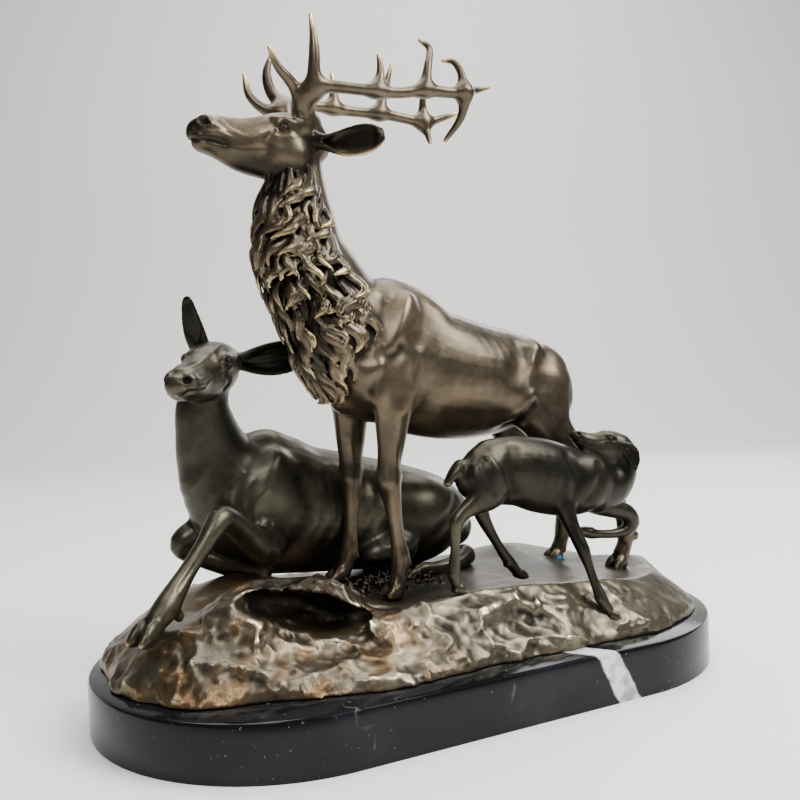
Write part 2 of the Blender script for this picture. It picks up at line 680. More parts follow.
def stag_legs(clay):
    """Four legs with knees, hocks, tendons and cloven hooves."""
    near_fore = (
        (-32, -21, 138, 16, 9), (-26, -22, 118, 13, 9), (-27.5, -22, 104, 10.6, 8.4),
        (-28.5, -22, 93, 8.8, 7.6), (-30.4, -22, 80, 7.2, 6.6), (-31.4, -22, 72, 7.6, 7.2),
        (-30.8, -22, 66, 7.3, 6.9), (-29.3, -22, 58, 5.7, 5.6), (-28.3, -22, 48, 4.9, 4.6),
        (-26.3, -22, 32, 4.6, 4.2), (-25, -22, 22, 5.9, 5.6), (-26.2, -22, 13, 5.0, 5.0),
        (-28, -22, 7, 5.8, 5.8),
    )
    far_fore = (
        (-39, 19, 138, 17, 9), (-36, 20, 116, 13.4, 9), (-36.6, 20, 103, 10.8, 8.4),
        (-37, 20, 92, 9.4, 7.8), (-37.6, 20, 79, 7.4, 6.8), (-37.9, 20, 70, 7.7, 7.2),
        (-37.8, 20, 64, 7.3, 6.9), (-38.3, 20, 56, 5.8, 5.6), (-38.6, 20, 46, 4.8, 4.6),
        (-39.6, 20, 32, 4.6, 4.2), (-41, 20, 22, 5.9, 5.6), (-43.5, 20, 14, 5, 5),
        (-46, 20, 9, 5.8, 5.8),
    )
    near_hind = (
        (89, -16, 128, 23, 11), (87, -20, 108, 23, 10.5), (93, -23, 92, 16, 9),
        (108, -25, 79, 10.5, 7.4), (124, -26, 69, 7.6, 6), (136, -26, 60, 7.2, 5.8),
        (141, -26, 53, 6.8, 5.8), (144, -26, 44, 5.4, 4.9), (147, -26, 31, 4.8, 4.4),
        (150, -26, 20, 6, 5.6), (149, -26, 11, 5.2, 5), (145, -26.5, 4, 5.8, 5.6),
    )
    far_hind = (
        (88, 16, 128, 23, 11), (86, 19, 108, 22, 10.5), (94, 21, 89, 16, 9),
        (110, 20, 74, 10.5, 7.4), (122, 20, 64, 7.6, 6), (131, 20, 56, 7.2, 5.8),
        (133, 20, 49, 6.6, 5.6), (132.5, 20, 41, 5.2, 4.9), (131, 20, 28, 4.8, 4.4),
        (131, 20, 18, 6, 5.6), (129, 20, 9, 5.2, 5), (126.5, 20, 3, 5.8, 5.6),
    )
    for limb in (near_fore, far_fore, near_hind, far_hind):
        clay.add(loft(limb, steps=3, around=24, square=0.9), 5)
    for x, y in ((-30.8, -22), (-37.8, 20)):
        for hand in (-1, 1):
            clay.ball((x - 1, y + hand * 4, 69), (5.4, 3.4, 6.5), blend=2)
        clay.ball((x + 6.2, y, 72), (2.8, 3.4, 4.6), blend=2)
        clay.stroke([(x - 7, y - 4, 76), (x - 8, y, 73), (x - 7, y + 4, 76)], 1.2, 0.5)
        clay.stroke([(x - 7, y - 4, 61), (x - 8, y, 62), (x - 7, y + 4, 61)], 1.2, -0.6)
    for x, y, drift in ((-28.3, -22, 2), (-38.6, 20, -1)):
        for hand in (-1, 1):
            groove = [(x + 2.2, y + hand * 4.6, 58), (x + 2 + drift, y + hand * 4.4, 40),
                      (x + 1.6 + drift, y + hand * 4.6, 27)]
            clay.stroke(groove, 0.9, -0.9)
            vein = [(x - 3, y + hand * 7, 96), (x - 1, y + hand * 7.4, 86),
                    (x + 1.5, y + hand * 6.4, 74)]
            clay.stroke(vein, 1.1, 0.6)
            clay.stroke([(x + 5, y + hand * 7.2, 108), (x + 4, y + hand * 7.4, 92),
                         (x + 3.5, y + hand * 6.2, 78)], 1.3, -0.8)
    for x, y, low in ((145, -26, 20), (132, 20, 18)):
        clay.ball((x - 1, y, low + 37), (5.5, 5, 5), blend=2)
        for hand in (-1, 1):
            clay.stroke([(x + 2, y + hand * 4.6, low + 30), (x + 3, y + hand * 4.4, low + 16),
                         (x + 4, y + hand * 4.8, low + 5)], 0.9, -0.8)
            clay.stroke([(x - 22, y + hand * 5, low + 46), (x - 8, y + hand * 4.6, low + 39),
                         (x, y + hand * 4.4, low + 33)], 1.3, -0.9)
    hoof(clay, (-27.5, -22, 3.5), (-36.5, -23, 0.6), 5.6, 5.2)
    hoof(clay, (-46, 20, 7.5), (-56, 19.5, 5), 5.6, 5.2)
    hoof(clay, (144, -26.5, 0), (135, -27.5, -4), 5.6, 5.2)
    hoof(clay, (125, 20, -1), (116, 20, -4), 5.6, 5.2)
    for place in ((-25, -22, 18), (-41, 20, 18)):
        dewclaws(clay, place, (1, 0, 0), (0, 1, 0), 2.6)
    dewclaws(clay, (151, -26, 16), (1, 0, 0), (0, 1, 0), 3.2)
    dewclaws(clay, (131, 20, 14), (1, 0, 0), (0, 1, 0), 2.8)


def stag_folds(clay):
    """Ribs, folds and edges of the muscles on both sides."""
    for hand in (-1, 1):
        for rib in range(5):
            x = 34 + 7.5 * rib
            clay.stroke([(x, hand * 20, 162 - 0.2 * rib), (x + 5, hand * 25, 151),
                         (x + 9, hand * 29, 138)], 1.7, -0.16)
        for rib in range(6):
            x = 6 + 9 * rib
            clay.stroke([(x - 9, hand * 29, 108), (x - 3, hand * 30, 124), (x, hand * 29, 142)],
                        3.4, 0.16)
        for points, width, height in STAG_FOLDS:
            clay.stroke([(x, hand * y, z) for x, y, z in points], width, height)
    clay.stroke([(-12, 0, 193), (20, 0, 175), (60, 0, 165), (100, 0, 154)], 2.0, 0.4)


def stag_head(clay):
    """Head raised and level, with its face and ears."""
    head = Head(clay, (-66, 0, 273), (-136, 0, 275))
    rings = (
        (-0.055, 0.04, 0.160, 0.160), (0.055, 0.014, 0.235, 0.200), (0.19, -0.03, 0.290, 0.220),
        (0.33, -0.035, 0.280, 0.200), (0.47, -0.050, 0.252, 0.160), (0.61, -0.045, 0.222, 0.130),
        (0.75, -0.018, 0.186, 0.115), (0.86, 0.004, 0.160, 0.115), (0.94, 0.014, 0.138, 0.108),
        (0.995, 0.03, 0.092, 0.080),
    )
    head.skull(rings, 4)
    head.lump((0.22, -0.11, 0.125), (0.155, 0.085, 0.115), 12, 0.07)
    head.lump((0.925, 0.085, 0.060), (0.060, 0.050, 0.050), 10, 0.05)
    head.lump((0.90, -0.095, 0.035), (0.075, 0.045, 0.035), 0, 0.05)
    head.lump((0.02, 0.19, 0.10), (0.09, 0.08, 0.09), 0, 0.07)
    head.face((0.30, 0.080, 0.200), (0.945, 0.085, 0.095), (0.775, -0.075, 0.104), 0.043, 0.038)
    head.line(((0.46, 0.19, 0.085), (0.62, 0.165, 0.07), (0.80, 0.155, 0.055)), 0.022, 0.012)
    head.line(((0.44, 0.03, 0.165), (0.56, -0.01, 0.14), (0.70, 0.0, 0.122)), 0.030, 0.012)
    head.line(((0.46, -0.10, 0.16), (0.60, -0.12, 0.135), (0.72, -0.12, 0.12)), 0.034, 0.010)
    head.line(((0.80, 0.02, 0.118), (0.86, -0.005, 0.118), (0.93, 0.0, 0.10)), 0.012, 0.012)
    head.line(((0.47, 0.0, 0.17), (0.44, -0.12, 0.20), (0.46, -0.22, 0.17)), 0.055, -0.014)
    head.line(((0.10, 0.02, 0.205), (0.05, -0.12, 0.20), (0.10, -0.26, 0.17)), 0.055, -0.022)
    head.line(((0.82, 0.11, 0.105), (0.75, 0.03, 0.125), (0.67, -0.04, 0.135)), 0.014, -0.011)
    head.line(((0.76, 0.13, 0.105), (0.69, 0.06, 0.125), (0.60, 0.02, 0.145)), 0.014, -0.008)
    head.line(((0.38, 0.20, 0.15), (0.30, 0.165, 0.195), (0.21, 0.13, 0.205)), 0.022, 0.020)
    head.line(((0.37, 0.215, 0.10), (0.26, 0.245, 0.11), (0.15, 0.25, 0.11)), 0.024, 0.016)
    for hand in (-1, 1):
        clay.shade(head.at(0.30, 0.08, hand * 0.20), 5.5, 0.3)
        clay.shade(head.at(0.98, 0.04, hand * 0.05), 9, 0.55)
        clay.shade(head.at(0.80, -0.08, hand * 0.10), 7, 0.45)
        clay.shade(head.at(0.52, -0.24, hand * 0.10), 14, 0.55)
        clay.shade(head.at(0.04, -0.05, hand * 0.20), 12, 0.4)
    head.ear(
        (-66, -12, 274), (-53, -29, 270.5), (-37, -44, 272.5), 9.6, (-0.62, -0.75, 0.05), BLUNT_EAR,
    )
    head.ear((-66, 12, 274), (-60, 30, 272), (-52, 45, 273), 9.6, (-0.9, 0.4, 0.1), BLUNT_EAR)


def antler_points(hand):
    """Beam and tines of one antler; hand is -1 for the viewer's side and 1 for the far side."""
    if hand < 0:
        beam = (
            (-74, 10, 283, 4.8), (-73, 12, 291, 4.4), (-73, 16, 296, 4.0), (-70, 21, 300, 3.7),
            (-64, 24, 303, 3.3), (-48, 26, 303, 3.0), (-32, 27, 303, 3.0), (-17, 28, 303.5, 2.8),
            (0, 28, 307, 3.0), (20, 28, 308, 2.8), (33, 26, 311, 2.2), (51, 22, 317, 1.1),
        )
        tines = (
            ((-74, 14, 295, 3.2), (-82, 17, 305, 2.7), (-91, 20, 312, 2.1), (-97, 23, 321, 1.0)),
            ((-70, 20, 300, 3.6), (-71, 25, 310, 3), (-71, 27, 324, 2.3), (-73, 28, 341.8, 0.9)),
            ((-32, 27, 303, 3.0), (-29, 27, 315, 2.0), (-30, 27, 325, 0.9)),
            ((0, 28, 307, 3.0), (4, 27, 324, 2.1), (8, 22, 336, 1.8), (3, 19, 341.4, 1.2)),
            ((28, 28, 310, 2.8), (28, 26, 322, 2.0), (25, 22, 330, 1.7), (19, 19, 331, 1.1)),
            ((30, 28, 309, 2.8), (29, 22, 295, 2.1), (23, 12, 283, 1.2)),
        )
        return beam, tines
    beam = (
        (-74, 10, 283, 4.8), (-77, 11, 293, 4.4), (-74, 15, 301, 3.9), (-65, 22, 306, 3.4),
        (-47, 26, 308, 3.0), (-29, 27, 308, 3), (-17, 27, 308, 2.8), (1, 27, 308.5, 2.9),
        (19, 27, 307, 2.8), (30, 27, 306, 2.6), (42, 26, 310, 2.1), (54, 24, 314, 1.2),
    )
    tines = (
        ((-76, 12, 297, 3.2), (-88, 16, 299, 2.7), (-96, 20, 308, 2.1), (-98, 22, 321, 1.0)),
        ((-75, 15, 301, 3.4), (-81, 22, 312, 2.8), (-82, 26, 326, 2.1), (-76, 28, 341.8, 0.9)),
        ((-38, 26, 308, 2.8), (-37, 26, 320, 1.9), (-38, 26, 331, 0.9)),
        ((-5, 27, 308, 2.9), (1, 26, 327, 2.1), (5, 24, 341.8, 0.9)),
        ((30, 27, 307, 2.6), (28, 25, 318, 2.0), (27, 20, 330, 1.0)),
        ((28, 27, 307, 2.7), (30, 24, 299, 2.0), (29, 18, 290, 1.2)),
    )
    return beam, tines


def antlers(clay):
    """Beams that sweep back, with burrs at their foot and pointed tines."""
    for hand in (-1, 1):
        beam, tines = antler_points(hand)
        for points in (beam, *tines):
            rows = [(x, hand * y, z, 1.2 * size, 1.2 * size) for x, y, z, size in points]
            way = np.array(rows[-1][:3]) - np.array(rows[0][:3])
            side = (0, 1, 0) if abs(way[1]) < 0.8 * np.linalg.norm(way) else (1, 0, 0)
            clay.add(loft(rows, side, around=14), 7)
        for index in range(9):
            angle = math.tau * index / 9
            x = -74 + 5.2 * math.cos(angle)
            y = hand * 10.8 + 5.0 * math.sin(angle)
            clay.ball((x, y, 287.5), (1.7, 1.7, 1.5), blend=0.8)


def neck_skin(turn, height, lift):
    """Place on the stag's neck, turn degrees from its front, lifted off the skin."""
    centre, _, level, deep, wide = between([(ring[2], *ring) for ring in STAG_NECK], height)[1:]
    angle = math.radians(turn)
    x = centre - (deep + lift) * math.cos(angle)
    return np.array((x, -(wide + lift) * math.sin(angle), level))


def under_mane(places):
    """How dark each place is for lying low between the locks."""
    rings = [(ring[2], *ring) for ring in STAG_NECK]
    levels, centres, _, _, deeps, wides = np.array(rings).T
    height = places[:, 2]
    centre, deep, wide = (np.interp(height, levels, row) for row in (centres, deeps, wides))
    ahead, aside = (centre - places[:, 0]) / deep, places[:, 1] / wide
    lift = (np.hypot(ahead, aside) - 1) * (deep + wide) / 2
    turn = np.degrees(np.arctan2(np.abs(aside), ahead))
    spread = np.interp(height, *np.array(MANE_SPREAD).T)
    inside = smooth_step(spread + 6, spread - 10, turn) * smooth_step(116, 128, height)
    inside = inside * smooth_step(268, 252, height)
    return inside * (0.38 + 0.62 * smooth_step(6.6, 2.0, lift))


def lock_line(turn, height, length, flow, wave, phase, beat):
    """Middle line of a lock that runs down the neck in waves."""
    line = []
    steps = 10
    for step in range(steps + 1):
        angle = flow + wave * math.sin(phase + math.tau * beat * step / steps)
        angle = max(-1.15, min(1.15, angle))
        line.append((turn, height, angle))
        turn += math.degrees(length / steps * math.sin(angle) / NECK_REACH)
        height -= length / steps * math.cos(angle)
    return line


def lock(clay, line, lift, size, strands):
    """One lock of hair: strands that run close together and end in a point."""
    middle = (strands - 1) / 2
    last = len(line) - 1
    for strand in range(strands):
        aside = strand - middle
        rows = []
        for step, (turn, height, angle) in enumerate(line):
            share = step / last
            gather = math.sin(math.pi * (0.24 + 0.70 * share)) ** 0.8
            rise = lift * (0.10 + 1.10 * math.sin(math.pi * min(0.5, 0.66 * share)) ** 1.2)
            rise -= 0.75 * abs(aside) * size
            spread = aside * 1.85 * size * gather
            radius = size * (1.5 * math.sin(math.pi * (0.22 + 0.66 * share)) ** 0.8)
            radius *= 1 - 0.3 * share
            round_turn = turn + math.degrees(spread * math.cos(angle) / NECK_REACH)
            place = neck_skin(round_turn, height + spread * math.sin(angle), rise)
            rows.append((*place, radius * 1.1, radius))
        turn, _, angle = line[last // 2]
        turn = math.radians(turn)
        across = Vector((math.sin(turn), -math.cos(turn), 0)) * math.cos(angle)
        across += Vector((0, 0, math.sin(angle)))
        clay.add(loft(rows, tuple(across), steps=2, around=8), 0.3)


def mane(clay):
    """Stag's mane: wavy locks that hang over each other."""
    for tier in reversed(range(MANE_TIERS)):
        top = MANE_TOP - tier * TIER_DROP
        spread = between(MANE_SPREAD, top)[1]
        count = 2 * round(spread / LOCK_TURN) + 1
        for index in range(count):
            luck = chance(tier + 1, index + 1)
            other = chance(index + 3, tier + 7)
            third = chance(index + 11, tier + 2)
            fourth = chance(index + 5, tier + 13)
            side = 2 * (index + 0.5 * (tier % 2) + 0.5 * (luck - 0.5)) / (count - 0.5) - 1
            hand = math.copysign(min(1.0, abs(side) * 2), side)
            flow = math.radians(between(MANE_FLOW, top - 8)[1] * (0.4 + 1.0 * other)) * hand
            wave = math.radians(20 + 28 * third) * (-hand if fourth > 0.1 else hand)
            height = top + 9 * (fourth - 0.5)
            line = lock_line(
                spread * side, height, 18 + 13 * luck, flow, wave, 4.4 * other, 0.7 + 0.4 * third
            )
            swell = 1.6 * math.exp(-((height - 222) / 26) ** 2) * (1 - abs(side))
            lift = 2.6 + 3.8 * third + swell
            lock(clay, line, lift, 0.52 + 0.36 * luck, 3 + round(1.8 * other))


def make_stag():
    """The stag, from hooves to antlers."""
    clay = Clay((-145, -52, -14), (176, 52, 348), STAG_CELL)
    stag_body(clay)
    stag_legs(clay)
    clay.soften(2)
    stag_folds(clay)
    stag_head(clay)
    mane(clay)
    clay.depth = under_mane
    antlers(clay)
    for place in STAG_HOOVES:
        clay.shade(place, 11, 0.55)
    for place, radius in BLUE_SPOTS:
        clay.blooms.append((place, radius, 1.3))
    return clay.cast("stag")


# Doe

def make_doe():
    """Doe lying behind the stag, her head turned towards the viewer."""
    clay = Clay((-198, -48, -12), (74, 96, 194), DOE_CELL)
    torso = (
        (-128, 44, 74, 16, 13), (-114, 46, 64, 33, 22), (-98, 50, 58, 42, 26),
        (-80, 53, 52, 46, 29), (-60, 55, 46.5, 43, 31), (-35, 56, 42.5, 41, 31),
        (-8, 56, 38, 38.5, 30), (16, 55, 34, 36, 28), (36, 53, 31, 31.5, 26),
        (50, 51, 26, 24, 20), (58, 50, 20, 13, 12),
    )
    clay.add(loft(torso, steps=5, around=36), 2)
    neck = (
        (-111, 49, 72, 30, 22), (-119.5, 47, 88, 24.5, 19.5), (-124.5, 44, 104, 19.5, 17),
        (-126.5, 42, 119, 16.5, 15), (-122, 42, 134, 13.5, 13), (-115, 44, 146, 12.5, 12.5),
    )
    clay.add(loft(neck, steps=5, around=32), 7)
    clay.ball((-92, 33, 62), (17, 9.5, 28), 20, blend=9)
    clay.ball((-84, 49, 92), (14, 11, 9.5), 10, blend=6)
    clay.ball((22, 40, 34), (32, 19, 29), 10, blend=6)
    clay.ball((-8, 28, 16), (22, 11, 13), -12, blend=5)
    near_fore = (
        (-92, 34, 40, 17, 12), (-98, 19, 31, 13, 10), (-111, 10, 41, 8.4, 7.6),
        (-122, 3, 51, 7.4, 6.8), (-129, -1, 54, 7.6, 7.2), (-135, -5, 49, 6.6, 6.4),
        (-142, -9, 41, 5.2, 5), (-152, -14, 30, 5, 4.6), (-161, -19.5, 20, 6.2, 5.8),
        (-167, -23.5, 13, 7.2, 6.8), (-174, -28, 7, 6, 5.8),
    )
    clay.add(loft(near_fore, (0.45, -0.75, 0.4), steps=3, around=24, square=0.9), 4)
    hoof(clay, (-175, -28.5, 5), (-186, -35.5, -1), 6.0, 6.2)
    dewclaws(clay, (-165, -22.5, 10), (0.6, 0.4, -0.6), (0.6, -0.8, 0), 3.2)
    far_fore = (
        (-112, 56, 42, 15, 12), (-127, 53, 40, 9.8, 9), (-137, 50, 37, 8.6, 8.6),
        (-141, 50, 32, 8, 8), (-134, 49, 26, 6.6, 6.2), (-116, 47, 17, 6.2, 6.2),
        (-92, 44, 8, 7, 7),
    )
    clay.add(loft(far_fore, steps=3, around=24), 4)
    hind_foot = (
        (46, 20, 8, 8, 8), (36, 14, 5, 6, 6), (20, 12, 4, 4.8, 4.8), (9, 11, 4.4, 5.4, 5.2),
        (3, 10.5, 3.6, 4.6, 4.8),
    )
    clay.add(loft(hind_foot, steps=3), 3)
    hoof(clay, (2, 10.5, 3), (-7, 9.5, 1), 4.6, 4.2)
    clay.soften(2)
    for rib in range(6):
        x = -62 + 10 * rib
        clay.stroke([(x - 8, 25.5, 28), (x, 24.8, 42), (x + 4, 28, 60), (x + 4, 36, 74)], 3.2, 0.5)
    clay.stroke([(-70, 27, 70), (-66, 24, 48), (-74, 23, 28)], 5.0, -1.6)
    clay.stroke([(-96, 26, 90), (-107, 25, 72), (-114, 25, 52)], 6.5, -1.4)
    clay.stroke([(-84, 28, 86), (-94, 24, 66), (-100, 23, 50)], 6.0, 1.2)
    for fold in range(3):
        x = -112 + 7 * fold
        drop = 5 * fold
        clay.stroke([(x + 5, 28, 76 - drop), (x - 1, 26, 70 - drop), (x - 4, 26, 60 - drop)], 1.8, 0.4)
    clay.stroke([(-12, 30, 58), (-6, 22, 44), (-14, 17, 30)], 4.5, -1.6)
    clay.stroke([(44, 34, 44), (30, 20, 28), (14, 17, 12)], 4.0, -1.3)
    clay.stroke([(-28, 17, 6), (0, 16, 9), (30, 18, 8)], 2.6, -1.8)
    clay.stroke([(-94, 22, 42), (-104, 12, 42), (-116, 5, 50)], 1.6, -0.8)
    for side in (-1, 1):
        aside = 0.8 * side
        clay.stroke([(-140 + aside, -5 - 3.6 * side, 44), (-152 + aside, -13 - 3.4 * side, 31),
                     (-162 + aside, -19 - 3.6 * side, 21)], 0.9, -0.7)
    doe_head(clay)
    return clay.cast("doe")


def doe_head(clay):
    """Doe's head, turned to look out."""
    head = Head(clay, (-114, 45, 146), (-149, 8, 131), 3)
    rings = (
        (-0.08, 0.0, 0.195, 0.205), (0.10, 0.0, 0.280, 0.300), (0.30, -0.015, 0.305, 0.300),
        (0.48, -0.04, 0.270, 0.245), (0.66, -0.035, 0.232, 0.212), (0.82, -0.012, 0.205, 0.205),
        (0.93, 0.0, 0.182, 0.198), (1.01, 0.015, 0.120, 0.150),
    )
    head.skull(rings, 4)
    head.lump((0.24, -0.10, 0.17), (0.17, 0.09, 0.13), 8, 0.07)
    head.lump((0.93, 0.075, 0.115), (0.075, 0.06, 0.06), 10, 0.05)
    head.lump((0.92, -0.10, 0.06), (0.08, 0.06, 0.06), 0, 0.05)
    head.face((0.34, 0.095, 0.278), (1.0, 0.065, 0.105), (0.80, -0.055, 0.185), 0.056, 0.048)
    head.line(((0.50, 0.17, 0.10), (0.66, 0.15, 0.085), (0.82, 0.145, 0.075)), 0.022, 0.012)
    head.line(((0.40, -0.04, 0.26), (0.34, -0.12, 0.265), (0.38, -0.2, 0.21)), 0.025, -0.016)
    head.line(((0.42, 0.20, 0.14), (0.28, 0.245, 0.14), (0.14, 0.25, 0.15)), 0.026, 0.016)
    head.ear((-124, 48, 151), (-130, 46, 169), (-133, 46, 186.5), 8.2, (-0.75, -0.6, 0.1), HIGH_EAR)
    head.ear((-107, 45, 146), (-82, 43, 147), (-55, 42, 151), 11.5, (-0.1, -0.95, -0.3), WIDE_EAR)
    for height in (154, 164, 174, 184):
        clay.shade((-125 - 0.22 * (height - 150), 46, height), 11, 0.7)


# Fawn

def make_fawn():
    """Fawn walking towards +X, its head turned back to the stag's thigh."""
    clay = Clay((-20, -102, -30), (148, -34, 104), FAWN_CELL)
    lift = (SEAT + FAWN_RISE - LEVEL) / MM

    def raised(rows):
        return [(row[0], row[1], row[2] + lift, *row[3:]) for row in rows]

    torso = (
        (-3, -57, 68, 6, 5), (4, -57, 66, 14, 9), (14, -57, 65, 19.5, 12), (26, -57, 66, 20.5, 13),
        (40, -57, 65, 21.5, 13.5), (54, -57, 61.5, 23, 14), (68, -57, 57.5, 22.5, 14),
        (82, -57, 54.5, 21, 13.5), (94, -57, 52.5, 18, 12.5), (105, -57.5, 51, 14, 11),
        (111, -58, 50, 10, 9),
    )
    clay.add(loft(raised(torso), steps=5, around=32), 2)
    neck = (
        (100, -57, 50, 17, 12), (111, -58, 50, 13.5, 11), (118.5, -59, 58, 10.5, 9.5),
        (119, -60, 68, 9, 8.4), (115, -60, 75, 9, 8.4),
    )
    clay.add(loft(raised(neck), steps=5, around=28), 5)
    near_hind = (
        (16, -62, 64, 16, 8), (11, -65, 55, 12, 7), (2, -65, 49, 6.6, 4.8),
        (-5, -64, 44.5, 4.8, 4), (-9, -64, 40, 4.4, 3.8), (-10.4, -64, 34, 3.5, 3.1),
        (-10.8, -64, 24, 3.0, 2.8), (-11.8, -64, 14, 3.6, 3.4), (-12, -64, 9.5, 3.8, 3.5),
        (-11, -64, 5, 3.4, 3.2),
    )
    far_hind = (
        (20, -52, 64, 16, 8), (22, -48, 52, 11, 6.5), (19, -46, 44, 6.2, 4.6),
        (20, -46, 38, 4.8, 4), (24, -46, 30, 3.8, 3.4), (30, -46, 20, 3.1, 2.9),
        (36, -46, 11, 3.6, 3.3), (39.5, -46, 6.5, 3.8, 3.5), (43, -46, 2, 3.4, 3.2),
    )
    near_fore = (
        (74, -63, 56, 13, 7), (67, -66, 44, 8, 6), (68.5, -70, 31, 4.8, 4.4),
        (71, -74.5, 20, 4.4, 4.2), (72.5, -76, 15, 4.2, 4), (74.5, -78, 6, 3.1, 2.9),
        (76.5, -80.5, -4, 3.0, 2.8), (78.5, -83, -12, 3.8, 3.6), (80, -84.5, -16.5, 3.6, 3.4),
        (82.5, -85.5, -21, 3.4, 3.2),
    )
    far_fore = (
        (92, -50, 48, 11, 7), (106, -48, 38, 7.5, 6), (121, -48, 33, 6.4, 5.2),
        (132, -48, 29, 6, 5.2), (136, -48, 22, 5.8, 5), (131, -47, 17, 4.2, 3.8),
        (121, -46, 16, 3.1, 2.9), (110, -45.5, 17, 3.0, 2.8), (104, -45, 18, 3.8, 3.5),
        (98, -44.5, 20, 3.6, 3.3),
    )
    for limb in (near_hind, far_hind, near_fore, far_fore):
        clay.add(loft(raised(limb), steps=3, around=20), 3)
    tail = ((-1, -57, 72, 3.6, 4.6), (-6, -57, 67, 3.4, 4.4), (-10.5, -57, 61.5, 2.4, 3.2))
    clay.add(loft(raised(tail)), 1.6)
    clay.ball((88, -65, 55 + lift), (14, 8, 17), 20, blend=4)
    clay.ball((14, -64, 62 + lift), (13, 7, 15), 15, blend=4)
    clay.soften(2)
    hoof(clay, (-11.5, -64, 2.5 + lift), (-5, -64, -0.5 + lift), 3.3, 3.2)
    hoof(clay, (43.5, -46, 0.5 + lift), (50, -46, -2.5 + lift), 3.3, 3.2)
    hoof(clay, (83, -86, -22.5 + lift), (88.5, -88, -26.5 + lift), 3.3, 3.2)
    hoof(clay, (97, -44.5, 20 + lift), (89.5, -44, 21.5 + lift), 3.2, 2.9)
    dewclaws(clay, (-12, -64, 10 + lift), (-1, 0, 0), (0, 1, 0), 1.5)
    dewclaws(clay, (38.5, -46, 7 + lift), (-1, 0, -0.4), (0, 1, 0), 1.5)
    dewclaws(clay, (78.5, -83, -12 + lift), (-0.8, 0, -0.6), (0.3, 1, 0), 1.5)
    dewclaws(clay, (104, -45, 18.5 + lift), (0, 0, 1), (0, 1, 0), 1.5)
    side = -71
    clay.stroke([(30, side, 82 + lift), (26, side, 66 + lift), (30, side, 52 + lift)], 4.2, -1.4)
    clay.stroke([(70, side, 74 + lift), (74, side, 60 + lift), (70, side, 46 + lift)], 3.8, -1.1)
    clay.stroke([(92, side, 66 + lift), (90, side, 56 + lift), (82, side, 44 + lift)], 4.0, -1.4)
    clay.stroke([(10, side, 80 + lift), (15, side, 70 + lift), (20, side, 56 + lift)], 2.2, 1.0)
    clay.stroke([(6, side, 76 + lift), (8, side, 66 + lift), (12, side, 56 + lift)], 3.0, -0.8)
    for rib in range(4):
        x = 44 + 7 * rib
        clay.stroke([(x, side + 1, 54 + lift), (x + 3, side, 64 + lift), (x + 1, side + 2, 74 + lift)],
                    1.8, 0.16)
    fawn_head(clay, lift)
    clay.shade((62, -60, 42 + lift), 95, 0.78)
    return clay.cast("fawn")


def fawn_head(clay, lift):
    """Fawn's head, looking back along its own flank."""
    head = Head(clay, (118.5, -61, 74 + lift), (87, -51.5, 83 + lift), -6)
    rings = (
        (-0.08, -0.02, 0.18, 0.18), (0.10, 0.0, 0.260, 0.240), (0.28, -0.02, 0.300, 0.250),
        (0.45, -0.07, 0.290, 0.215), (0.62, -0.075, 0.240, 0.170), (0.78, -0.045, 0.185, 0.142),
        (0.91, -0.005, 0.145, 0.130), (1.0, 0.02, 0.095, 0.097),
    )
    head.skull(rings, 3)
    jaw = ((110, -60, 67, 5.4, 5), (101, -58, 69, 4.8, 4.4), (93, -55.5, 73, 3.6, 3.4))
    clay.add(loft([(x, y, z + lift, high, wide) for x, y, z, high, wide in jaw]), 1.2)
    head.lump((0.92, 0.05, 0.065), (0.07, 0.055, 0.05), 10, 0.04)
    head.face((0.36, 0.085, 0.222), (0.955, 0.055, 0.086), (0.68, -0.095, 0.128), 0.058, 0.042)
    head.ear(
        (113, -67, 77 + lift), (118, -70.5, 71 + lift), (119.5, -72, 60 + lift), 5,
        (-0.35, -0.93, 0.1), POINTED_EAR,
    )
    head.ear(
        (116, -53, 76 + lift), (122, -50.5, 73 + lift), (125, -50, 66 + lift), 4.8,
        (0.3, 0.9, 0.1), POINTED_EAR,
    )


# Rocky ground

def bump(x, y, centre, reach):
    """Round hill of height 1 at centre that fades out at about twice its reach."""
    return np.exp(-((x - centre[0]) / reach[0]) ** 2 - ((y - centre[1]) / reach[1]) ** 2)


def lattice_noise(x, y, z, size, seed):
    """Smooth noise from -1 to 1 on arrays, with lumps of about size millimetres."""
    rng = np.random.default_rng(seed)
    table = rng.uniform(-1, 1, (32, 32, 32)).astype(np.float32)
    total = 0
    places = []
    for axis in (x, y, z):
        place = axis / size + 64
        base = np.floor(place).astype(int)
        part = place - base
        places.append((base % 32, part * part * (3 - 2 * part)))
    for corner in range(8):
        index = []
        weight = 1
        for axis, (base, part) in enumerate(places):
            far = corner >> axis & 1
            index.append((base + far) % 32)
            weight = weight * (part if far else 1 - part)
        total = total + weight * table[index[0], index[1], index[2]]
    return total


def cell_ridges(x, y, z, size, seed):
    """Distance to the nearest of scattered seeds: 0 at a hollow's middle, 1 near its rim."""
    rng = np.random.default_rng(seed)
    count = 20
    jitter = rng.uniform(0.08, 0.92, (count, count, count, 3)).astype(np.float32)
    places = [axis / size + 2 * count for axis in np.broadcast_arrays(x, y, z)]
    bases = [np.floor(place).astype(np.int32) for place in places]
    nearest = np.full(places[0].shape, 9.0, np.float32)
    for steps in itertools.product((-1, 0, 1), repeat=3):
        cell = [base + step for base, step in zip(bases, steps)]
        seeds = jitter[cell[0] % count, cell[1] % count, cell[2] % count]
        far = sum((cell[axis] + seeds[..., axis] - places[axis]) ** 2 for axis in range(3))
        nearest = np.minimum(nearest, far)
    return nearest


